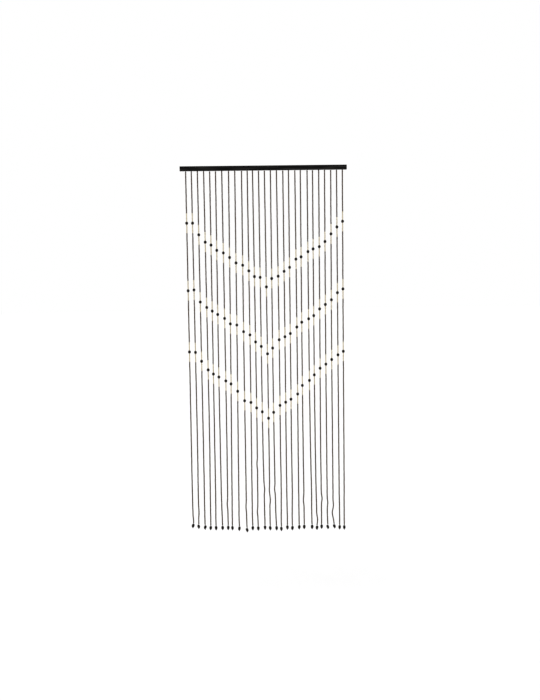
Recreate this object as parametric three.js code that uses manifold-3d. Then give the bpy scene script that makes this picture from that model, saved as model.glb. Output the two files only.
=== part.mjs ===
// A bead curtain for a doorway: strands of small wooden beads that hang from a painted wooden rail.
// Millimetres, +Z up. The origin is the middle of the rail's back face, and the curtain faces -Y.
import * as THREE from 'three';
import { mergeVertices } from 'three/addons/utils/BufferGeometryUtils.js';
import Module from 'manifold-3d';

const wasm = await Module();
wasm.setup();

// The rail, a planed lath with eased long edges
const railLength = 900;
const railDepth = 15;
const railHeight = 25;
const railEase = 1.5;
const easeSteps = 2;

// The groove along the rail's underside, and the strip in it that the strands are fixed to
const grooveLength = 880;
const grooveWidth = 8;
const grooveDepth = 3;
const stripGap = 0.3;
const rootDepth = 1;

// The strands, square in section, as thick as a string of 7 mm wooden beads is on average
const strandPitch = 32.5;
const fieldShift = 5;
const strandWidth = 6;

// The large black beads, three on a strand, and the oval bead at its end
const blackBead = { height: 16, width: 14, crown: 8, neck: strandWidth };
const endBead = { height: 21, width: 13, crown: 11, neck: 3 };

// Depths under the rail at which the table gives a strand's drift, above the one at its end bead
const driftDepths = { rail: 0, middle: 1000, low: 1500, knee: 1750, ankle: 1880 };

// How far apart the bends of a strand are followed, down to its low part and below it
const upperStep = 250;
const lowerStep = 50;

// One row for each strand, from left to right: how far it hangs to the right of its even place at
// each depth, then the depths of the middles of its three black beads and of its end bead
const columns = ['rail', 'middle', 'low', 'knee', 'ankle', 'foot', 'first', 'second', 'third', 'end'];
const table = [
  [-1, 0, 0, 0, 1, -1, 278, 642, 975, 1938],
  [-3, 0, 1, 0, 0, -1, 278, 638, 978, 1943],
  [-3, 0, 1, 1, 1, 2, 341, 704, 1027, 1948],
  [-2, 2, 3, 1, 1, 0, 381, 734, 1075, 1952],
  [-2, -2, -2, -2, -3, -3, 397, 754, 1098, 1953],
  [-3, -5, -4, -3, -1, 1, 426, 773, 1115, 1953],
  [-2, 0, 0, -1, -1, -1, 440, 795, 1137, 1953],
  [2, -3, -7, -9, -10, -10, 465, 825, 1154, 1955],
  [3, 0, -3, -4, -5, -4, 495, 832, 1195, 1959],
  [7, 4, 4, 4, 4, 6, 508, 869, 1248, 1968],
  [5, 6, 5, 4, 4, 5, 539, 887, 1258, 1958],
  [1, 4, 4, 3, 2, 3, 570, 926, 1289, 1960],
  [1, 2, 3, 6, 7, 8, 575, 951, 1311, 1956],
  [0, 3, 4, 4, 4, 4, 627, 992, 1347, 1960],
  [0, -1, 0, 2, 4, 7, 582, 961, 1315, 1961],
  [0, 3, 2, 3, 1, 1, 570, 916, 1277, 1965],
  [2, 2, 1, 1, 2, 2, 544, 900, 1260, 1958],
  [0, -1, -2, -1, -3, -3, 523, 883, 1244, 1962],
  [2, 3, 2, 2, 2, 3, 479, 848, 1216, 1958],
  [-1, -3, -3, -2, -2, -2, 467, 822, 1169, 1957],
  [3, 3, 5, 8, 8, 9, 439, 804, 1142, 1958],
  [0, -2, -1, 1, 3, 4, 425, 787, 1112, 1963],
  [1, -2, -4, -3, -3, -3, 413, 751, 1076, 1957],
  [0, -3, -3, -3, -3, -1, 386, 727, 1054, 1960],
  [1, -3, -3, -3, -4, 3, 345, 702, 1029, 1957],
  [0, -1, -1, -1, 0, 0, 308, 664, 1004, 1963],
  [-1, -4, -5, -6, -7, -7, 278, 644, 985, 1964],
];
const strands = table.map((row) => Object.fromEntries(columns.map((name, i) => [name, row[i]])));

// Short kinks that some cords have kept: the strand, the kink's depth and its push to the right
const kinkReach = 22;
const kinks = [
  { strand: 0, depth: 1915, push: 4 },
  { strand: 1, depth: 1861, push: 2 },
  { strand: 6, depth: 1823, push: -3 },
  { strand: 9, depth: 1840, push: -2 },
  { strand: 11, depth: 1600, push: -3 },
  { strand: 11, depth: 1867, push: -3 },
  { strand: 12, depth: 1742, push: 3 },
  { strand: 13, depth: 1745, push: -2 },
  { strand: 13, depth: 1803, push: 3 },
  { strand: 14, depth: 1741, push: -3 },
  { strand: 19, depth: 1808, push: -3 },
  { strand: 21, depth: 1917, push: 4 },
  { strand: 22, depth: 1800, push: 4 },
  { strand: 23, depth: 1824, push: 3 },
  { strand: 24, depth: 1837, push: 3 },
  { strand: 24, depth: 1884, push: -4 },
];

function manifoldOf(geometry) {
  const bare = geometry.index ? geometry.clone() : geometry;
  bare.deleteAttribute('normal');
  bare.deleteAttribute('uv');
  const merged = mergeVertices(bare);
  const vertProperties = new Float32Array(merged.attributes.position.array);
  const triVerts = new Uint32Array(merged.index.array);
  return new wasm.Manifold(new wasm.Mesh({ numProp: 3, vertProperties, triVerts }));
}

function geometryOf(manifold) {
  const { vertProperties, triVerts } = manifold.getMesh();
  const geometry = new THREE.BufferGeometry();
  geometry.setAttribute('position', new THREE.BufferAttribute(vertProperties, 3));
  geometry.setIndex(new THREE.BufferAttribute(triVerts, 1));
  geometry.computeVertexNormals();
  return geometry;
}

// The rail is drawn as its end section and extruded along its length, then turned to lie along X
function railGeometry() {
  const y = railDepth / 2;
  const z = railHeight / 2;
  const section = new THREE.Shape();
  section.moveTo(railEase - y, -z);
  section.lineTo(y - railEase, -z);
  section.absarc(y - railEase, railEase - z, railEase, -Math.PI / 2, 0);
  section.absarc(y - railEase, z - railEase, railEase, 0, Math.PI / 2);
  section.absarc(railEase - y, z - railEase, railEase, Math.PI / 2, Math.PI);
  section.absarc(railEase - y, railEase - z, railEase, Math.PI, Math.PI * 1.5);
  const options = { depth: railLength, bevelEnabled: false, curveSegments: easeSteps };
  const lath = new THREE.ExtrudeGeometry(section, options).translate(0, 0, -railLength / 2);
  const groove = new THREE.BoxGeometry(grooveWidth, grooveDepth * 2, grooveLength).translate(0, -z, 0);
  return geometryOf(manifoldOf(lath).subtract(manifoldOf(groove)));
}

// A smooth line through stops given as { depth, side }, read at any depth
function smoothThrough(stops, depth) {
  const last = stops.length - 1;
  let i = 0;
  while (i < last - 1 && depth > stops[i + 1].depth) {
    i += 1;
  }
  const slopeAt = (k) => {
    const above = stops[Math.max(k - 1, 0)];
    const below = stops[Math.min(k + 1, last)];
    return (below.side - above.side) / (below.depth - above.depth);
  };
  const span = stops[i + 1].depth - stops[i].depth;
  const t = (depth - stops[i].depth) / span;
  const rise = stops[i + 1].side - stops[i].side;
  const startPull = slopeAt(i) * span - rise;
  const endPull = rise - slopeAt(i + 1) * span;
  return stops[i].side + t * rise + t * (1 - t) * (startPull * (1 - t) + endPull * t);
}

// How far a strand hangs to the right of its even place at a depth
function drift(strand, number, depth) {
  const stops = Object.entries(driftDepths).map(([name, at]) => ({ depth: at, side: strand[name] }));
  stops.push({ depth: strand.end, side: strand.foot });
  const pushes = kinks.filter((kink) => kink.strand === number).map((kink) => {
    const away = (depth - kink.depth) / kinkReach;
    return kink.push * Math.exp(-away * away);
  });
  return pushes.reduce((sum, push) => sum + push, smoothThrough(stops, depth));
}

// The depths and widths of the sections that draw a bead's swell, whose middle is at a depth
function swell(bead, depth, tailWidth) {
  return [
    { depth: depth - bead.height / 2, width: bead.neck },
    { depth: depth - bead.crown / 2, width: bead.width },
    { depth: depth + bead.crown / 2, width: bead.width },
    { depth: depth + bead.height / 2, width: tailWidth },
  ];
}

// All the sections of a strand from its root down, each with its depth and width
function sectionsOf(strand, number) {
  const black = [strand.first, strand.second, strand.third];
  const beads = [
    ...black.flatMap((depth) => swell(blackBead, depth, blackBead.neck)),
    ...swell(endBead, strand.end, endBead.neck),
  ];
  const bends = new Set(kinks.filter((kink) => kink.strand === number)
    .flatMap((kink) => [kink.depth - kinkReach, kink.depth, kink.depth + kinkReach]));
  for (let depth = upperStep; depth < driftDepths.low; depth += upperStep) {
    bends.add(depth);
  }
  for (let depth = driftDepths.low; depth < strand.end; depth += lowerStep) {
    bends.add(depth);
  }
  const clear = (depth) => beads.every((section) => Math.abs(section.depth - depth) > blackBead.height);
  const plain = [...bends].filter(clear).map((depth) => ({ depth, width: strandWidth }));
  const root = { depth: -rootDepth, width: strandWidth };
  return [root, ...plain, ...beads].sort((a, b) => a.depth - b.depth);
}

// A four-sided tube through square sections, closed at its root and its foot
function strandGeometry(strand, number) {
  const evenPlace = fieldShift + (number - (strands.length - 1) / 2) * strandPitch;
  const sections = sectionsOf(strand, number);
  const corners = [[-1, -1], [1, -1], [1, 1], [-1, 1]];
  const points = [];
  const faces = [];
  sections.forEach(({ depth, width }, k) => {
    const side = evenPlace + drift(strand, number, Math.max(depth, 0));
    corners.forEach(([x, y]) => points.push(side + x * width / 2, y * width / 2, -depth));
    if (k > 0) {
      const above = (k - 1) * corners.length;
      const below = k * corners.length;
      corners.forEach((corner, c) => {
        const next = (c + 1) % corners.length;
        faces.push(above + c, below + c, below + next);
        faces.push(above + c, below + next, above + next);
      });
    }
  });
  const foot = (sections.length - 1) * corners.length;
  faces.push(0, 1, 2, 0, 2, 3);
  faces.push(foot, foot + 2, foot + 1, foot, foot + 3, foot + 2);
  const geometry = new THREE.BufferGeometry();
  geometry.setAttribute('position', new THREE.Float32BufferAttribute(points, 3));
  geometry.setIndex(faces);
  return geometry;
}

// The strip fills the groove but for its gap, flush with the rail's underside, and holds every root
function strandsGeometry() {
  const stripHeight = grooveDepth - stripGap;
  const strip = new THREE.BoxGeometry(grooveLength - 2 * stripGap, grooveWidth - 2 * stripGap, stripHeight)
    .translate(0, 0, stripHeight / 2);
  const hung = strands.map((strand, number) => manifoldOf(strandGeometry(strand, number)));
  return geometryOf(hung.reduce((joined, strand) => joined.add(strand), manifoldOf(strip)));
}

const blackPaint = new THREE.MeshStandardMaterial({ color: 0x191919, roughness: 0.45, metalness: 0 });
const darkWood = new THREE.MeshStandardMaterial({ color: 0x35281d, roughness: 0.55, metalness: 0 });

const rail = new THREE.Mesh(railGeometry(), blackPaint);
rail.name = 'rail';
rail.rotation.set(Math.PI / 2, Math.PI / 2, 0);

const curtain = new THREE.Mesh(strandsGeometry(), darkWood);
curtain.name = 'strands';
curtain.position.z = -railHeight / 2;

// Both hang in the middle of the rail's depth, in front of its back face
const group = new THREE.Group();
group.position.y = -railDepth / 2;
group.add(rail, curtain);

export default group;
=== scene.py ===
"""A bead curtain for a doorway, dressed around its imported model: a black wooden rail from which 27
strands of small turned beads hang. Metres, +Z up. The front faces -Y, and the origin is the middle
of the rail's back face."""
import math

import bmesh
import bpy
import numpy as np
from mathutils import Matrix, Vector


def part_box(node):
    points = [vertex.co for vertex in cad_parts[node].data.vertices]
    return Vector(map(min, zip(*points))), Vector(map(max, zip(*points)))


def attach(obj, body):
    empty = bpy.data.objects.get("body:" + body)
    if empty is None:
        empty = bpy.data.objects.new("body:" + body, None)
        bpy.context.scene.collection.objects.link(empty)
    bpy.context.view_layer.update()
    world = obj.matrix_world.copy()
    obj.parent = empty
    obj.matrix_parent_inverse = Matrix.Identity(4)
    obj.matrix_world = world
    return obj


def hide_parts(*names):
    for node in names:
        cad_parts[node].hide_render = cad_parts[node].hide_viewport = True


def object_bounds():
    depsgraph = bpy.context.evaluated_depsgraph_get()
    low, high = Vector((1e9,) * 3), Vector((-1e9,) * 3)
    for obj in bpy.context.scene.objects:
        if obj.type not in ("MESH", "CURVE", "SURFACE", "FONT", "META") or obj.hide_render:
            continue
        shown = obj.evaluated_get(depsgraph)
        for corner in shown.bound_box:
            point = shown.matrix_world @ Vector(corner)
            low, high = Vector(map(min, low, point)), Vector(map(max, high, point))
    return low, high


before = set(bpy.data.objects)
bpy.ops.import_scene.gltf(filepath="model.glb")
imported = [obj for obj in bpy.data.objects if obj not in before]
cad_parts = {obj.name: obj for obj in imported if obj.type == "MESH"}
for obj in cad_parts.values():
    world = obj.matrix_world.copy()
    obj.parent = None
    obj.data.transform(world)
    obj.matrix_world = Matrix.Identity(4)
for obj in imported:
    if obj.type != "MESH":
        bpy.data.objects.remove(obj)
cad_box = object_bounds()


# The rail
# A planed softwood lath with eased edges, brushed with satin black paint through which the grain
# shows faintly. A groove runs along its underside, and its back face lies against the door frame.
MM = 0.001
RAIL_EASE = 1.2 * MM
RAIL_EASE_STEPS = 3
GROOVE_WIDTH = 8 * MM
GROOVE_DEPTH = 3 * MM
GROOVE_LENGTH = 880 * MM
RAIL_BLACK = (0.0030, 0.0029, 0.0028, 1)
RAIL_BLACK_WORN = (0.0100, 0.0096, 0.0092, 1)
RAIL_GRAIN = (0.0450, 0.0430, 0.0400, 1)
RAIL_SHINE = 0.09
RAIL_ROUGHNESS = (0.36, 0.56)
# Lumps a metre along the rail, through it and up it, then how finely the lumps break up
GRAIN_LUMPS = (7, 420, 260)
GRAIN_DETAIL = 5.0
WORN_LUMPS = (5, 30, 30)
WORN_DETAIL = 2.0
# How much of the grain's colour shows at the noise's two ends: only its highest ridges come through
GRAIN_SHOWS = (-2.2, 2.4)
GRAIN_RELIEF = 0.25 * MM


def principled(name):
    """A new material, its node tree and its main shader."""
    material = bpy.data.materials.new(name)
    material.use_nodes = True
    tree = material.node_tree
    return material, tree, tree.nodes["Principled BSDF"]


def mixed(tree, factor, low, high):
    """A colour mix of two colours by the output that gives the factor."""
    mix = tree.nodes.new("ShaderNodeMix")
    mix.data_type = "RGBA"
    tree.links.new(factor, mix.inputs["Factor"])
    mix.inputs["A"].default_value = low
    mix.inputs["B"].default_value = high
    return mix.outputs["Result"]


def ranged(tree, value, low, high):
    """The output value, from 0 to 1, brought to run from low to high."""
    span = tree.nodes.new("ShaderNodeMapRange")
    tree.links.new(value, span.inputs["Value"])
    span.inputs["To Min"].default_value = low
    span.inputs["To Max"].default_value = high
    return span.outputs["Result"]


def noise(tree, vector, detail, scale=1.0):
    """The factor of a noise whose lumps are 1/scale across in the vector's own measure."""
    node = tree.nodes.new("ShaderNodeTexNoise")
    node.inputs["Scale"].default_value = scale
    node.inputs["Detail"].default_value = detail
    tree.links.new(vector, node.inputs["Vector"])
    return node.outputs["Fac"]


def stretched(tree, vector, scale):
    """The vector scaled on each axis, so that a pattern runs long where the scale is small."""
    mapping = tree.nodes.new("ShaderNodeMapping")
    mapping.inputs["Scale"].default_value = scale
    tree.links.new(vector, mapping.inputs["Vector"])
    return mapping.outputs["Vector"]


def bumped(tree, shader, height, distance, strength=1.0):
    """Raises the shader's surface by the height, from 0 to 1, times the distance."""
    bump = tree.nodes.new("ShaderNodeBump")
    bump.inputs["Distance"].default_value = distance
    bump.inputs["Strength"].default_value = strength
    tree.links.new(height, bump.inputs["Height"])
    tree.links.new(bump.outputs["Normal"], shader.inputs["Normal"])


def black_paint():
    """Satin black paint over planed softwood: long grain lines and slightly worn patches."""
    material, tree, shader = principled("black_paint")
    place = tree.nodes.new("ShaderNodeTexCoord").outputs["Object"]
    grain = noise(tree, stretched(tree, place, GRAIN_LUMPS), GRAIN_DETAIL)
    worn = noise(tree, stretched(tree, place, WORN_LUMPS), WORN_DETAIL)
    ridges = mixed(tree, ranged(tree, grain, *GRAIN_SHOWS), RAIL_BLACK, RAIL_GRAIN)
    tree.links.new(mixed(tree, worn, RAIL_BLACK, RAIL_BLACK_WORN), ridges.node.inputs["A"])
    tree.links.new(ridges, shader.inputs["Base Color"])
    tree.links.new(ranged(tree, grain, *RAIL_ROUGHNESS), shader.inputs["Roughness"])
    shader.inputs["Specular IOR Level"].default_value = RAIL_SHINE
    bumped(tree, shader, grain, GRAIN_RELIEF)
    return material


def piece_from(mesh, material, smooth=True):
    """A finished object at the origin, made of a mesh with its material."""
    mesh.materials.append(material)
    mesh.polygons.foreach_set("use_smooth", [smooth] * len(mesh.polygons))
    piece = bpy.data.objects.new(mesh.name, mesh)
    bpy.context.scene.collection.objects.link(piece)
    return piece


def piece_of(name, bm, material, smooth=True):
    """A finished object at the origin, made of a bmesh with its material."""
    mesh = bpy.data.meshes.new(name)
    bm.to_mesh(mesh)
    bm.free()
    return piece_from(mesh, material, smooth)


def lath(low, high):
    """The rail: a block from corner low to corner high with its edges rounded over, and the groove
    sunk into its underside."""
    size = high - low
    middle = (low + high) / 2
    bm = bmesh.new()
    bmesh.ops.create_cube(bm, size=1.0)
    bmesh.ops.scale(bm, vec=size, verts=bm.verts)
    bmesh.ops.translate(bm, vec=middle, verts=bm.verts)
    bmesh.ops.bevel(bm, geom=bm.edges[:], offset=RAIL_EASE, offset_type="OFFSET", affect="EDGES",
                    segments=RAIL_EASE_STEPS, profile=0.5, material=-1)
    cuts = [(Vector((side * GROOVE_LENGTH / 2, 0, 0)), Vector((1, 0, 0))) for side in (-1, 1)]
    cuts += [(Vector((0, side * GROOVE_WIDTH / 2, 0)), Vector((0, 1, 0))) for side in (-1, 1)]
    for offset, across in cuts:
        everything = bm.verts[:] + bm.edges[:] + bm.faces[:]
        bmesh.ops.bisect_plane(bm, geom=everything, plane_co=middle + offset, plane_no=across)
    under = Vector((middle.x, middle.y, low.z))
    mouth = min(bm.faces, key=lambda face: (face.calc_center_median() - under).length)
    raised = bmesh.ops.extrude_discrete_faces(bm, faces=[mouth])["faces"]
    floor_corners = {vert for face in raised for vert in face.verts}
    bmesh.ops.translate(bm, vec=(0, 0, GROOVE_DEPTH), verts=list(floor_corners))
    return bm


rail_low, rail_high = (Vector(corner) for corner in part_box("rail"))
rail_paint = black_paint()
rail = piece_of("rail_lath", lath(rail_low, rail_high), rail_paint, smooth=False)
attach(rail, "root")
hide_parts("rail")


# The root strip
# A thin black strip pressed into the rail's groove, flush with the underside. Each thread comes out
# of a small hole in it and is knotted and glued above, where nothing shows.
STRIP_GAP = 0.3 * MM
STRIP_EASE = 0.4 * MM
STRIP_EASE_STEPS = 2


def root_strip(low, high):
    """The strip: a long block with eased edges that fills the groove but for a gap on all sides but
    the open one."""
    gaps = Vector((2 * STRIP_GAP, 2 * STRIP_GAP, STRIP_GAP))
    size = Vector((GROOVE_LENGTH, GROOVE_WIDTH, GROOVE_DEPTH)) - gaps
    middle = Vector(((low.x + high.x) / 2, (low.y + high.y) / 2, low.z + size.z / 2))
    bm = bmesh.new()
    bmesh.ops.create_cube(bm, size=1.0)
    bmesh.ops.scale(bm, vec=size, verts=bm.verts)
    bmesh.ops.translate(bm, vec=middle, verts=bm.verts)
    bmesh.ops.bevel(bm, geom=bm.edges[:], offset=STRIP_EASE, offset_type="OFFSET", affect="EDGES",
                    segments=STRIP_EASE_STEPS, profile=0.5, material=-1)
    return bm


strip = piece_of("root_strip", root_strip(rail_low, rail_high), rail_paint, smooth=False)
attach(strip, "root")
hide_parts("strands")


# The threads
# One dark twisted thread carries each strand's beads from the strip down to the knot under its end
# bead. The strands hang nearly straight; some drift sideways, and a few have kept a kink.
STRAND_PITCH = 32.5 * MM
FIELD_SHIFT = 5 * MM
THREAD_RADIUS = 0.6 * MM
THREAD_STEP = 12 * MM
TAIL = 13 * MM
TUBE_ROUNDNESS = 1
WELD = 0.001 * MM
THREAD_BLACK = (0.022, 0.017, 0.013, 1)
THREAD_WORN = (0.045, 0.036, 0.028, 1)
THREAD_ROUGHNESS = 0.85
THREAD_SHINE = 0.25
FUZZ_LUMPS = 900
FUZZ_DETAIL = 2.0
TWIST_LUMPS = 1400
TWIST_DETAIL = 1.0
TWIST_STRETCH = (1, 1, 0.4)
TWIST_RELIEF = 0.2 * MM
# Each strand wanders a little from its line, in waves of three lengths that start below the rail.
# The shift sets a strand's waves off from its neighbour's, and the turn those from front to back.
WAVE_SIZE = 0.45 * MM
WAVE_LENGTHS = (41 * MM, 97 * MM, 213 * MM)
WAVE_START = 100 * MM
WAVE_SHIFT = 2.4
DEPTHWISE_TURN = 1.6

# The depths in millimetres at which each strand's drift to the side is given
DRIFTS = {"rail": 0, "middle": 1000, "low": 1500, "knee": 1750, "ankle": 1880}
BLACK_BEADS = ("first", "second", "third")
# A row for each strand from left to right, in millimetres: how far it hangs to the right of its
# even place at each of those depths and at its foot, then the depths of its three black beads and
# of its end bead
COLUMNS = (*DRIFTS, "foot", *BLACK_BEADS, "end")
STRANDS = [dict(zip(COLUMNS, row)) for row in (
    (-1, 0, 0, 0, 1, -1, 278, 642, 975, 1938),
    (-3, 0, 1, 0, 0, -1, 278, 638, 978, 1943),
    (-3, 0, 1, 1, 1, 2, 341, 704, 1027, 1948),
    (-2, 2, 3, 1, 1, 0, 381, 734, 1075, 1952),
    (-2, -2, -2, -2, -3, -3, 397, 754, 1098, 1953),
    (-3, -5, -4, -3, -1, 1, 426, 773, 1115, 1953),
    (-2, 0, 0, -1, -1, -1, 440, 795, 1137, 1953),
    (2, -3, -7, -9, -10, -10, 465, 825, 1154, 1955),
    (3, 0, -3, -4, -5, -4, 495, 832, 1195, 1959),
    (7, 4, 4, 4, 4, 6, 508, 869, 1248, 1968),
    (5, 6, 5, 4, 4, 5, 539, 887, 1258, 1958),
    (1, 4, 4, 3, 2, 3, 570, 926, 1289, 1960),
    (1, 2, 3, 6, 7, 8, 575, 951, 1311, 1956),
    (0, 3, 4, 4, 4, 4, 627, 992, 1347, 1960),
    (0, -1, 0, 2, 4, 7, 582, 961, 1315, 1961),
    (0, 3, 2, 3, 1, 1, 570, 916, 1277, 1965),
    (2, 2, 1, 1, 2, 2, 544, 900, 1260, 1958),
    (0, -1, -2, -1, -3, -3, 523, 883, 1244, 1962),
    (2, 3, 2, 2, 2, 3, 479, 848, 1216, 1958),
    (-1, -3, -3, -2, -2, -2, 467, 822, 1169, 1957),
    (3, 3, 5, 8, 8, 9, 439, 804, 1142, 1958),
    (0, -2, -1, 1, 3, 4, 425, 787, 1112, 1963),
    (1, -2, -4, -3, -3, -3, 413, 751, 1076, 1957),
    (0, -3, -3, -3, -3, -1, 386, 727, 1054, 1960),
    (1, -3, -3, -3, -4, 3, 345, 702, 1029, 1957),
    (0, -1, -1, -1, 0, 0, 308, 664, 1004, 1963),
    (-1, -4, -5, -6, -7, -7, 278, 644, 985, 1964),
)]
# The strand, then the kink's depth and its push to the right in millimetres
KINK_REACH = 22
KINKS = (
    (0, 1915, 4),
    (1, 1861, 2),
    (6, 1823, -3),
    (9, 1840, -2),
    (11, 1600, -3),
    (11, 1867, -3),
    (12, 1742, 3),
    (13, 1745, -2),
    (13, 1803, 3),
    (14, 1741, -3),
    (19, 1808, -3),
    (21, 1917, 4),
    (22, 1800, 4),
    (23, 1824, 3),
    (24, 1837, 3),
    (24, 1884, -4),
)


def smooth_through(stops, depth):
    """A smooth line through stops given as (depth, side), read at any depth."""
    last = len(stops) - 1
    i = 0
    while i < last - 1 and depth > stops[i + 1][0]:
        i += 1

    def slope_at(k):
        """The line's slope at a stop, from the stops on either side of it."""
        above = stops[max(k - 1, 0)]
        below = stops[min(k + 1, last)]
        return (below[1] - above[1]) / (below[0] - above[0])

    span = stops[i + 1][0] - stops[i][0]
    rise = stops[i + 1][1] - stops[i][1]
    t = (depth - stops[i][0]) / span
    start_pull = slope_at(i) * span - rise
    end_pull = rise - slope_at(i + 1) * span
    return stops[i][1] + t * rise + t * (1 - t) * (start_pull * (1 - t) + end_pull * t)


def waviness(number, depth, turn):
    """How far strand number wanders at a depth in metres, nothing at the rail. Another turn gives
    another wander for the other direction."""
    waves = 0
    for k, length in enumerate(WAVE_LENGTHS):
        waves += math.sin(math.tau * depth / length + number * (WAVE_SHIFT + k) + turn)
    return WAVE_SIZE * waves / len(WAVE_LENGTHS) * min(depth / WAVE_START, 1)


def hang(number, depth):
    """Where strand number's thread is at a depth in metres below the rail's underside."""
    strand = STRANDS[number]
    depth_mm = max(depth / MM, 0)
    stops = [(at, strand[name]) for name, at in DRIFTS.items()] + [(strand["end"], strand["foot"])]
    side = smooth_through(stops, depth_mm)
    for which, at, push in KINKS:
        if which == number:
            side += push * math.exp(-((depth_mm - at) / KINK_REACH) ** 2)
    even_place = FIELD_SHIFT + (number - (len(STRANDS) - 1) / 2) * STRAND_PITCH
    x = even_place + side * MM + waviness(number, max(depth, 0), 0)
    y = (rail_low.y + rail_high.y) / 2 + waviness(number, max(depth, 0), DEPTHWISE_TURN)
    return Vector((x, y, rail_low.z - depth))


def tubes(lines, radius, cyclic=False):
    """A round tube along each line of points, closed at its ends or into a ring."""
    curve = bpy.data.curves.new("line", "CURVE")
    curve.dimensions = "3D"
    curve.bevel_depth = radius
    curve.bevel_resolution = TUBE_ROUNDNESS
    curve.use_fill_caps = True
    for line in lines:
        spline = curve.splines.new("POLY")
        spline.points.add(len(line) - 1)
        spline.use_cyclic_u = cyclic
        for point, place in zip(spline.points, line):
            point.co = (*place, 1)
    drawn = bpy.data.objects.new("line", curve)
    bpy.context.scene.collection.objects.link(drawn)
    finished = drawn.evaluated_get(bpy.context.evaluated_depsgraph_get())
    mesh = bpy.data.meshes.new_from_object(finished)
    bm = bmesh.new()
    bm.from_mesh(mesh)
    bmesh.ops.remove_doubles(bm, verts=bm.verts[:], dist=WELD)
    bpy.data.objects.remove(drawn)
    bpy.data.curves.remove(curve)
    bpy.data.meshes.remove(mesh)
    return bm


def thread_line(number):
    """The points that strand number's thread follows, from inside the strip to its last knot."""
    start = -GROOVE_DEPTH / 2
    end = STRANDS[number]["end"] * MM + TAIL
    steps = round((end - start) / THREAD_STEP)
    return [hang(number, start + (end - start) * k / steps) for k in range(steps + 1)]


def thread_material():
    """Dark waxed thread, matte, with the fine slanting ridges of its twist."""
    material, tree, shader = principled("dark_thread")
    place = tree.nodes.new("ShaderNodeTexCoord").outputs["Object"]
    fuzz = noise(tree, place, FUZZ_DETAIL, FUZZ_LUMPS)
    tree.links.new(mixed(tree, fuzz, THREAD_BLACK, THREAD_WORN), shader.inputs["Base Color"])
    shader.inputs["Roughness"].default_value = THREAD_ROUGHNESS
    shader.inputs["Specular IOR Level"].default_value = THREAD_SHINE
    twist = noise(tree, stretched(tree, place, TWIST_STRETCH), TWIST_DETAIL, TWIST_LUMPS)
    bumped(tree, shader, twist, TWIST_RELIEF)
    return material


thread_lines = [thread_line(number) for number in range(len(STRANDS))]
twisted_thread = thread_material()
thread = piece_of("threads", tubes(thread_lines, THREAD_RADIUS), twisted_thread)
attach(thread, "root")
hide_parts("strands")


# The dark beads
# Small beads turned from wood with full, rounded shoulders and stained dark brown, threaded end to
# end over most of each strand. They differ a little in size, shade and turn, as real ones do.
BEAD_DIAMETER = 7.3 * MM
BEAD_PITCH = 5.7 * MM
BEAD_LENGTH = 5.6 * MM
BEAD_BORE = 2.0 * MM
BEAD_SIDES = 8
BEAD_RINGS = 6
BEAD_FULLNESS = 3
# How much wider, deeper and longer a bead may be than its kin, and its common lean in radians
BEAD_UNEVENNESS = (0.035, 0.035, 0.0105)
BEAD_LEAN = 0.045
# Bare thread: the least and the most between the rail and the first bead, and over the end bead
SLACK = (0.6 * MM, 3 * MM)
NECK = 2 * MM
NATURAL_COUNT = 8
BLACK_HEIGHT = 16.4 * MM
END_HEIGHT = 21.6 * MM
STRANDS_A_PIECE = 6
DARK_BROWN = (0.048, 0.023, 0.008, 1)
WARM_BROWN = (0.095, 0.048, 0.017, 1)
BROWN_STREAK = (0.028, 0.014, 0.006, 1)
BEAD_ROUGHNESS = (0.42, 0.62)
BEAD_SHINE = 0.28
# Lumps a metre across the grain, how finely they break up, and how far they are drawn out along it
STREAK_LUMPS = 1500
STREAK_DETAIL = 4.0
STREAK_STRETCH = (1, 1, 0.12)
STREAK_SHOWS = (-0.25, 0.95)
STREAK_RELIEF = 0.3 * MM
STREAK_STRENGTH = 0.6
# Each bead is cut from another place in the wood, this far off in metres at most
WOOD_REACH = 1.0
BEAD_SEED = 27

rng = np.random.default_rng(BEAD_SEED)


def turned(radius, half_height, bore, sides, rings, fullness=2.0, taper=0.0):
    """A turned bead round the Z axis: an arc from lip to lip, with the bore as its inner wall. The
    arc is an ellipse's at fullness 2, and nears a drum's with more. Taper makes its top wider."""
    lip = math.acos((bore / 2 / radius) ** (fullness / 2))
    reach = half_height / math.sin(lip) ** (2 / fullness)
    bm = bmesh.new()
    arc = []
    for k in range(rings):
        angle = lip * (1 - 2 * k / (rings - 1))
        across = radius * math.cos(angle) ** (2 / fullness)
        height = math.copysign(reach * abs(math.sin(angle)) ** (2 / fullness), angle)
        arc.append(bm.verts.new((across * (1 + taper * height / half_height), 0, height)))
    edges = [bm.edges.new((arc[k], arc[(k + 1) % rings])) for k in range(rings)]
    bmesh.ops.spin(bm, geom=arc + edges, cent=(0, 0, 0), axis=(0, 0, 1), dvec=(0, 0, 0),
                   angle=math.tau, steps=sides, use_merge=True, use_duplicate=False)
    bmesh.ops.remove_doubles(bm, verts=bm.verts[:], dist=WELD)
    bmesh.ops.recalc_face_normals(bm, faces=bm.faces[:])
    return bm


def small_beads(strand, slack):
    """The (depth, kind) of each small bead of a strand, from the rail down. They fill the stretches
    above, between and below the black beads."""
    middles = [strand[name] * MM for name in BLACK_BEADS]
    last_foot = strand["end"] * MM - END_HEIGHT / 2 - NECK
    tops = [slack] + [depth + BLACK_HEIGHT / 2 for depth in middles]
    feet = [depth - BLACK_HEIGHT / 2 for depth in middles] + [last_foot]
    beads = []
    for stretch, (top, foot) in enumerate(zip(tops, feet)):
        count = round((foot - top) / BEAD_PITCH)
        for k in range(count):
            under_black = stretch > 0 and k < NATURAL_COUNT
            over_black = stretch < len(middles) and count - k <= NATURAL_COUNT
            kind = "natural" if under_black or over_black else "dark"
            beads.append((top + (foot - top) * (k + 0.5) / count, kind))
    return beads


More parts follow.
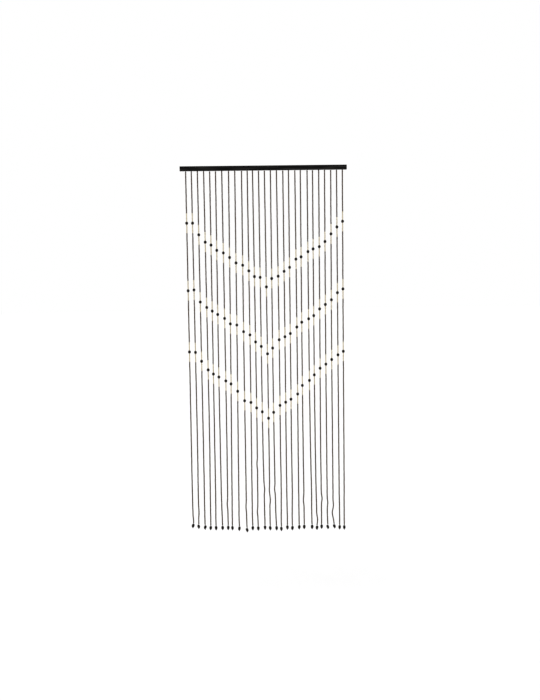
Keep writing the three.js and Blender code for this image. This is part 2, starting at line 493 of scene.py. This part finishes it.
def threaded(name, shape, places, material, leans=None):
    """One piece with a copy of the shape at each (strand, depth), each with its own turn, lean,
    size, shade and stretch of grain. leans adds an angle in the curtain's plane for each copy."""
    corners = np.array([vert.co[:] for vert in shape.verts])
    faces = np.array([[vert.index for vert in face.verts] for face in shape.faces])
    shape.free()
    points = []
    for i, (number, depth) in enumerate(places):
        middle = hang(number, depth)
        along = hang(number, depth - BEAD_PITCH) - hang(number, depth + BEAD_PITCH)
        lean = rng.normal(0, BEAD_LEAN, 2)
        follow = Vector((0, 0, 1)).rotation_difference(along).to_matrix()
        turn = Matrix.Rotation(rng.uniform(0, math.tau), 3, "Z")
        askew = lean[1] + (leans[i] if leans else 0)
        tip = Matrix.Rotation(lean[0], 3, "X") @ Matrix.Rotation(askew, 3, "Y")
        size = 1 + rng.uniform(-1, 1, 3) * BEAD_UNEVENNESS
        placed = np.array(follow @ tip @ turn)
        points.append((corners * size) @ placed.T + np.array(middle))
    count = len(places)
    starts = np.arange(count)[:, None, None] * len(corners)
    all_faces = (starts + faces).reshape(-1, faces.shape[1])
    mesh = bpy.data.meshes.new(name)
    mesh.from_pydata(np.concatenate(points).tolist(), [], all_faces.tolist())
    shades = np.repeat(rng.random(count), len(corners))
    shade = mesh.attributes.new("shade", "FLOAT", "POINT")
    shade.data.foreach_set("value", shades.astype(np.float32))
    cuts = rng.uniform(-WOOD_REACH, WOOD_REACH, (count, 3))
    in_wood = np.tile(corners, (count, 1)) + np.repeat(cuts, len(corners), axis=0)
    grain = mesh.attributes.new("grain", "FLOAT_VECTOR", "POINT")
    grain.data.foreach_set("vector", in_wood.ravel().astype(np.float32))
    return piece_from(mesh, material)


def bead_wood(name, low, high, streak, roughness, shine):
    """Turned wood: each bead has its own shade between low and high, and fine streaks of grain that
    run along its bore."""
    material, tree, shader = principled(name)
    grain = tree.nodes.new("ShaderNodeAttribute")
    grain.attribute_name = "grain"
    shade = tree.nodes.new("ShaderNodeAttribute")
    shade.attribute_name = "shade"
    along = stretched(tree, grain.outputs["Vector"], STREAK_STRETCH)
    streaks = noise(tree, along, STREAK_DETAIL, STREAK_LUMPS)
    streaked = mixed(tree, ranged(tree, streaks, *STREAK_SHOWS), low, streak)
    tree.links.new(mixed(tree, shade.outputs["Fac"], low, high), streaked.node.inputs["A"])
    tree.links.new(streaked, shader.inputs["Base Color"])
    tree.links.new(ranged(tree, streaks, *roughness), shader.inputs["Roughness"])
    shader.inputs["Specular IOR Level"].default_value = shine
    bumped(tree, shader, streaks, STREAK_RELIEF, STREAK_STRENGTH)
    return material


dark_wood = bead_wood("dark_stained_wood", DARK_BROWN, WARM_BROWN, BROWN_STREAK,
                      BEAD_ROUGHNESS, BEAD_SHINE)
strings = [small_beads(strand, rng.uniform(*SLACK)) for strand in STRANDS]
bead_sizes = (BEAD_DIAMETER / 2, BEAD_LENGTH / 2, BEAD_BORE, BEAD_SIDES, BEAD_RINGS, BEAD_FULLNESS)
for first in range(0, len(STRANDS), STRANDS_A_PIECE):
    group = range(first, min(first + STRANDS_A_PIECE, len(STRANDS)))
    dark_places = [(number, depth) for number in group
                   for depth, kind in strings[number] if kind == "dark"]
    group_name = f"dark_beads_{group[0] + 1}_to_{group[-1] + 1}"
    dark = threaded(group_name, turned(*bead_sizes), dark_places, dark_wood)
    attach(dark, "root")
    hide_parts("strands")


# The natural beads
# The same beads in bare pale wood, lightly waxed. Eight lie above and eight below each black bead,
# and together they draw the three pale V bands across the curtain.
PALE_WOOD = (0.58, 0.51, 0.38, 1)
CREAM_WOOD = (0.73, 0.66, 0.51, 1)
WOOD_STREAK = (0.43, 0.36, 0.25, 1)

pale_wood = bead_wood("natural_wood", PALE_WOOD, CREAM_WOOD, WOOD_STREAK,
                      BEAD_ROUGHNESS, BEAD_SHINE)
natural_places = [(number, depth) for number, beads in enumerate(strings)
                  for depth, kind in beads if kind == "natural"]
natural = threaded("natural_beads", turned(*bead_sizes), natural_places, pale_wood)
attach(natural, "root")
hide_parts("strands")


# The black beads
# Large round beads stained black, three on each strand. Each sits in the middle of a natural
# stretch, and across the curtain they make three rows in the shape of a V.
BLACK_DIAMETER = 15.4 * MM
BLACK_BORE = 3 * MM
BLACK_SIDES = 16
BLACK_RINGS = 9
BLACK_FULLNESS = 2.2
BLACK_STAIN = (0.0105, 0.0078, 0.0050, 1)
BROWN_STAIN = (0.0220, 0.0145, 0.0082, 1)
BLACK_STREAK = (0.0070, 0.0050, 0.0032, 1)
BLACK_ROUGHNESS = (0.34, 0.54)
BLACK_SHINE = 0.22

black_wood = bead_wood("black_stained_wood", BLACK_STAIN, BROWN_STAIN, BLACK_STREAK,
                       BLACK_ROUGHNESS, BLACK_SHINE)
black_places = [(number, strand[name] * MM) for number, strand in enumerate(STRANDS)
                for name in BLACK_BEADS]
black_turning = (BLACK_BORE, BLACK_SIDES, BLACK_RINGS, BLACK_FULLNESS)
ball = turned(BLACK_DIAMETER / 2, BLACK_HEIGHT / 2, *black_turning)
black = threaded("black_beads", ball, black_places, black_wood)
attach(black, "root")
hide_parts("strands")


# The end beads and knots
# One oval black bead weighs each strand down. The thread is knotted under it, and some of these
# beads hang a little askew on their knots.
END_DIAMETER = 14.6 * MM
END_TAPER = 0.07
# The knot is a trefoil that reaches three times its size from its middle
KNOT_SIZE = 0.75 * MM
KNOT_THREAD_RADIUS = 0.55 * MM
KNOT_STEPS = 22
KNOT_RISE = 1.4
# The strands whose end beads lean, and by how many degrees
ASKEW = {0: 12, 1: -10, 2: 14, 8: 8, 9: -16, 13: -8, 18: 8, 20: 8, 21: 8, 23: -18, 24: -10}

end_places = [(number, strand["end"] * MM) for number, strand in enumerate(STRANDS)]
leans = [math.radians(ASKEW.get(number, 0)) for number in range(len(STRANDS))]
drop = turned(END_DIAMETER / 2, END_HEIGHT / 2, *black_turning, END_TAPER)
ends = threaded("end_beads", drop, end_places, black_wood, leans)
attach(ends, "root")
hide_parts("strands")


def knot_line(number):
    """The closed trefoil that the overhand knot under strand number's end bead follows."""
    middle = hang(number, STRANDS[number]["end"] * MM + END_HEIGHT / 2 + 2 * KNOT_SIZE)
    line = []
    for k in range(KNOT_STEPS):
        t = math.tau * k / KNOT_STEPS
        across = math.sin(t) + 2 * math.sin(2 * t)
        forward = math.cos(t) - 2 * math.cos(2 * t)
        up = -KNOT_RISE * math.sin(3 * t)
        line.append(middle + Vector((across, forward, up)) * KNOT_SIZE)
    return line


knot_lines = [knot_line(number) for number in range(len(STRANDS))]
knot_tubes = tubes(knot_lines, KNOT_THREAD_RADIUS, cyclic=True)
knot = piece_of("end_knots", knot_tubes, twisted_thread)
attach(knot, "root")
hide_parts("strands")


# The studio
# A wide pale floor below the curtain's foot and a white surround, lit softly from the upper left
# with a weaker light from the right. The camera stands about five metres off, a little left of the
# middle, and sees the curtain at the photo's angle.
FLOOR_DROP = 0.4
FLOOR_REACH = 60.0
FLOOR_SIDES = 64
FLOOR_WHITE = (0.9, 0.9, 0.9, 1)
SURROUND_WHITE = (1, 1, 1, 1)
# The way that each light shines, and its power
LIGHTS = {"key": ((0.55, 0.65, -0.65), 0.64), "fill": ((-0.7, 0.6, -0.4), 0.25)}
LIGHT_SOFTNESS = 60
VIEW_GAMMA = 0.75
CAMERA_PLACE = (-0.115, -5.0, -0.6285)
# Degrees: to the side, up from straight down, and round the line of sight
CAMERA_YAW = -1.57
CAMERA_PITCH = 85.93
CAMERA_ROLL = 0.82
# The lens in pixels of the frame's height, that height, and the sensor's in millimetres
FOCAL_PIXELS = 916
FRAME_PIXELS = 700
SENSOR = 36

floor_bm = bmesh.new()
bmesh.ops.create_circle(floor_bm, cap_ends=True, segments=FLOOR_SIDES, radius=FLOOR_REACH)
bmesh.ops.translate(floor_bm, vec=(0, 0, cad_box[0][2] - FLOOR_DROP), verts=floor_bm.verts)
floor_material, floor_tree, floor_shader = principled("pale_floor")
floor_shader.inputs["Base Color"].default_value = FLOOR_WHITE
floor_shader.inputs["Roughness"].default_value = 1.0
floor_shader.inputs["Specular IOR Level"].default_value = 0.0
piece_of("floor", floor_bm, floor_material, smooth=False)

world = bpy.data.worlds.new("surround")
world.use_nodes = True
world.node_tree.nodes["Background"].inputs["Color"].default_value = SURROUND_WHITE
bpy.context.scene.world = world


def soft_light(name, direction, power):
    """An even light that shines along the direction, with soft shadows."""
    lamp = bpy.data.lights.new(name, "SUN")
    lamp.energy = power
    lamp.angle = math.radians(LIGHT_SOFTNESS)
    light = bpy.data.objects.new(name, lamp)
    light.rotation_euler = Vector(direction).to_track_quat("-Z", "Y").to_euler()
    bpy.context.scene.collection.objects.link(light)


for light_name, (shines, strength) in LIGHTS.items():
    soft_light(light_name, shines, strength)

camera_data = bpy.data.cameras.new("camera")
camera_data.sensor_width = SENSOR
camera_data.lens = FOCAL_PIXELS / FRAME_PIXELS * SENSOR
camera = bpy.data.objects.new("camera", camera_data)
yaw = Matrix.Rotation(math.radians(CAMERA_YAW), 4, "Z")
pitch = Matrix.Rotation(math.radians(CAMERA_PITCH), 4, "X")
roll = Matrix.Rotation(math.radians(-CAMERA_ROLL), 4, "Z")
camera.matrix_world = Matrix.Translation(CAMERA_PLACE) @ yaw @ pitch @ roll
bpy.context.scene.collection.objects.link(camera)
bpy.context.scene.camera = camera
bpy.context.scene.view_settings.view_transform = "Standard"
bpy.context.scene.view_settings.gamma = VIEW_GAMMA
